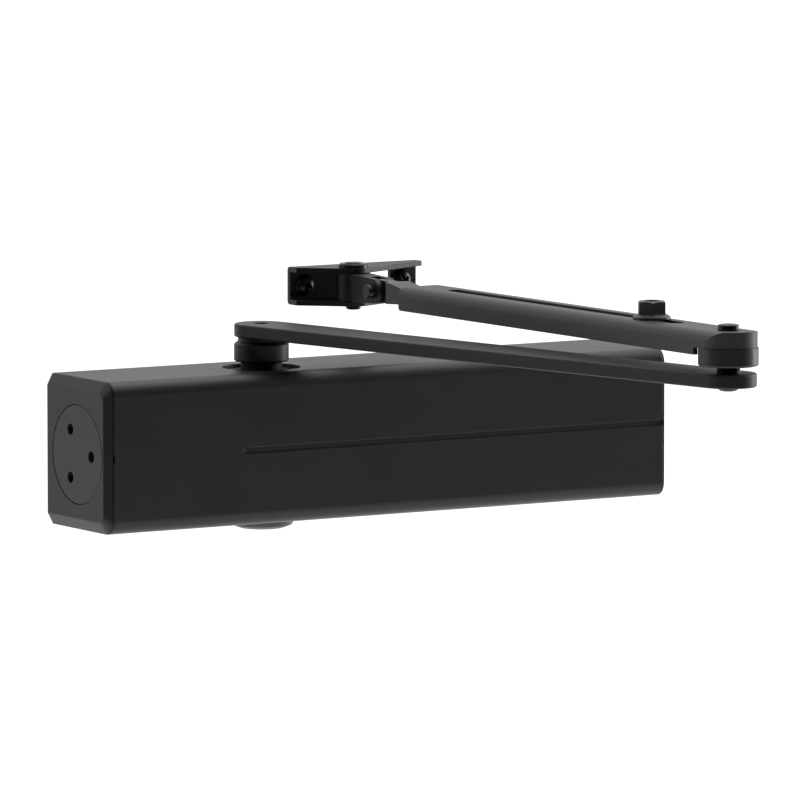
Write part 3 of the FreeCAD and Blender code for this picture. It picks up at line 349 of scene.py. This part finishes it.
# The clamping stud, with its plate under the bar and a rolled thread that the nut runs on.
studLow, studHigh = boxMm("adjusting_stud")
stud = {"centre": (*((studLow + studHigh)[:2] / 2 * mm), 0.0), "axis": (0, 0, 1), "around": 72, "step": 0.1,
        "thread": {"pitch": 1.0, "depth": 0.55, "core": 2.9,
                   "from": studLow[2] + 3, "to": studHigh[2] - 0.3}}
stud["profile"] = [(studLow[2], 0), (studLow[2], 5.5), (studLow[2] + 0.15, 5.85), (studLow[2] + 0.4, 5.98),
                   (studLow[2] + 1.18, 5.98), (studLow[2] + 1.2, 2.98), (studHigh[2] - 0.5, 2.98),
                   (studHigh[2], 2.5), (studHigh[2], 0)]
addPiece("adjustingStud", [turnedShell(stud)], "slider", "black_fastener", "adjusting_stud")

# The two pan-head screws in the shoe, each with a cross recess and a short thread behind the sheet.
screwLow, screwHigh = boxMm("shoe_screws")
shoeScrew = {"axis": (0, 1, 0), "around": 160, "step": 0.1, "turns": (0.35, 1.1), "headReach": 4.35,
             "web": -2.0, "cross": {"half": 0.32, "reach": 2.3, "depth": 1.6, "soft": 0.22, "below": -1.4},
             "thread": {"pitch": 1.4, "depth": 0.75, "from": 2.1, "to": 8.2, "core": 0.9}}
shoeScrew["profile"] = [(-2.8, 0), (-2.78, 0.8), (-2.66, 1.6), (-2.42, 2.4), (-2.1, 3.0), (-1.62, 3.55),
                        (-1.15, 3.93), (-0.7, 4.2), (-0.3, 4.32), (-0.02, 4.33), (-0.01, 2.35), (2.0, 2.35),
                        (2.02, 2.09), (7.4, 2.09), (8.98, 0.15), (9.0, 0)]
screwPlaces = (screwLow[0] + shoeScrew["headReach"], screwHigh[0] - shoeScrew["headReach"])
screwHeight = (screwLow[2] + screwHigh[2]) / 2
shells = []
for place, turn in zip(screwPlaces, shoeScrew["turns"]):
    centre = (place * mm, shoeScrew["web"] * mm, screwHeight * mm)
    shells.append(turnedShell(dict(shoeScrew, centre=centre, turn=turn)))
addPiece("shoeScrews", shells, "shoe", "black_fastener", "shoe_screws")

# The closing spring inside the body, made at one length; in the closer it shortens as the piston comes
# towards its seat.
coilLow, coilHigh = boxMm("closing_spring")
closingSpring = {"endGap": 2.25, "wire": 4.45, "turns": 10, "mean": 13.0, "z": 0.0, "steps": 720,
                 "around": 18, "flatEnds": 0.075, "tipSteps": 3, "tipThick": 0.75, "pistonTravel": 23.0}
closingSpring["start"] = coilLow[0] + closingSpring["endGap"]
closingSpring["end"] = coilHigh[0] - closingSpring["endGap"]
closingSpring["y"] = (coilLow[1] + coilHigh[1]) / 2
closingCoil = addPiece("closingSpring", [coilShell(closingSpring)], "closer", "spring_steel",
                       "closing_spring")
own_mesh(closingCoil)
print("pins, screws and spring made")


# Studio

studio = {"floorCentre": (0.0, -0.1, -0.24), "floorRadius": 0.9, "floorSides": 128,
          "cameraAt": (-1.79213, -2.96540, 0.38202), "heading": 31.602, "pitch": 6.0967, "lens": 389.78,
          "sensor": 36, "clip": (0.1, 60), "lightsAim": (0.0, -0.15, 0.02)}
heading, pitch = math.radians(studio["heading"]), math.radians(studio["pitch"])
ahead = Vector((math.cos(pitch) * math.sin(heading), math.cos(pitch) * math.cos(heading), -math.sin(pitch)))


def disc(name, centre, radius, material):
    # A flat round face: points at equal angles on a circle.
    angles = np.linspace(0, 2 * math.pi, studio["floorSides"], endpoint=False)
    rim = np.stack([centre[0] + radius * np.cos(angles), centre[1] + radius * np.sin(angles),
                    np.full_like(angles, centre[2])], 1)
    mesh = bpy.data.meshes.new(name)
    mesh.from_pydata(rim.tolist(), [], [list(range(len(rim)))])
    piece = bpy.data.objects.new(name, mesh)
    bpy.context.scene.collection.objects.link(piece)
    piece.data.materials.append(material)
    return piece


floorPaint = bpy.data.materials.new("floorPaint")
floorPaint.use_nodes = True
floorShader = Shader(floorPaint.node_tree)
floorSurface = floorShader.node("ShaderNodeBsdfPrincipled", {}, {
    "Base Color": (0.92, 0.92, 0.92, 1), "Roughness": 0.9, "Specular IOR Level": 0.0,
    "Emission Color": (1, 1, 1, 1), "Emission Strength": 0.3})
floorShader.node("ShaderNodeOutputMaterial", {}, {"Surface": floorSurface})
floor = disc("floor", studio["floorCentre"], studio["floorRadius"], floorPaint)

# The room is white ahead of the camera and above, and dim behind it. The camera itself sees plain white.
# A little of the light straight ahead is taken away, so that grazed tops don't shine.
room = {"dim": 0.038, "bright": 1.0, "from": 0.10, "to": 0.55, "above": 0.4, "aboveFrom": 0.35,
        "aboveTo": 0.85, "shade": 0.15, "shadeFrom": 0.7, "seen": 1.2}
world = bpy.data.worlds.new("room")
bpy.context.scene.world = world
world.use_nodes = True
air = Shader(world.node_tree)
way = air.node("ShaderNodeTexCoord", output="Generated")
straight = air.dot(way, (math.sin(heading), math.cos(heading), 0.0))
forward = straight.clamped(room["from"], room["to"])
upward = air.dot(way, (0.0, 0.0, 1.0)).clamped(room["aboveFrom"], room["aboveTo"])
level = room["dim"] + forward * (room["bright"] - room["dim"]) + upward * room["above"]
level = level - straight.clamped(room["shadeFrom"], 1.0) * room["shade"]
around = air.node("ShaderNodeBackground", {}, {"Color": (1, 1, 1, 1), "Strength": level})
plain = air.node("ShaderNodeBackground", {}, {"Color": (1, 1, 1, 1), "Strength": room["seen"]})
seen = air.node("ShaderNodeLightPath", output="Is Camera Ray")
both = air.node("ShaderNodeMixShader", {}, {0: seen, 1: around, 2: plain})
air.node("ShaderNodeOutputWorld", {}, {"Surface": both})


def softBox(name, at, aim, size, power):
    # An area light at one point, turned towards another.
    lamp = bpy.data.lights.new(name, "AREA")
    lamp.shape = "RECTANGLE"
    lamp.size, lamp.size_y = size
    lamp.energy = power
    holder = bpy.data.objects.new(name, lamp)
    holder.location = at
    holder.rotation_euler = (Vector(aim) - Vector(at)).to_track_quat("-Z", "Y").to_euler()
    bpy.context.scene.collection.objects.link(holder)


softBox("topLight", (0.3, -0.1, 1.5), studio["lightsAim"], (1.6, 1.6), 15)
softBox("rightLight", (1.75, -0.35, 0.45), studio["lightsAim"], (0.4, 1.4), 22)
softBox("leftLight", (-1.5, 0.7, 0.5), studio["lightsAim"], (0.6, 1.4), 4)

cameraData = bpy.data.cameras.new("camera")
cameraData.lens = studio["lens"]
cameraData.sensor_width = studio["sensor"]
cameraData.clip_start, cameraData.clip_end = studio["clip"]
camera = bpy.data.objects.new("camera", cameraData)
camera.location = studio["cameraAt"]
camera.rotation_euler = ahead.to_track_quat("-Z", "Y").to_euler()
bpy.context.scene.collection.objects.link(camera)
bpy.context.scene.camera = camera
bpy.context.scene.view_settings.view_transform = "Standard"
print("studio set")
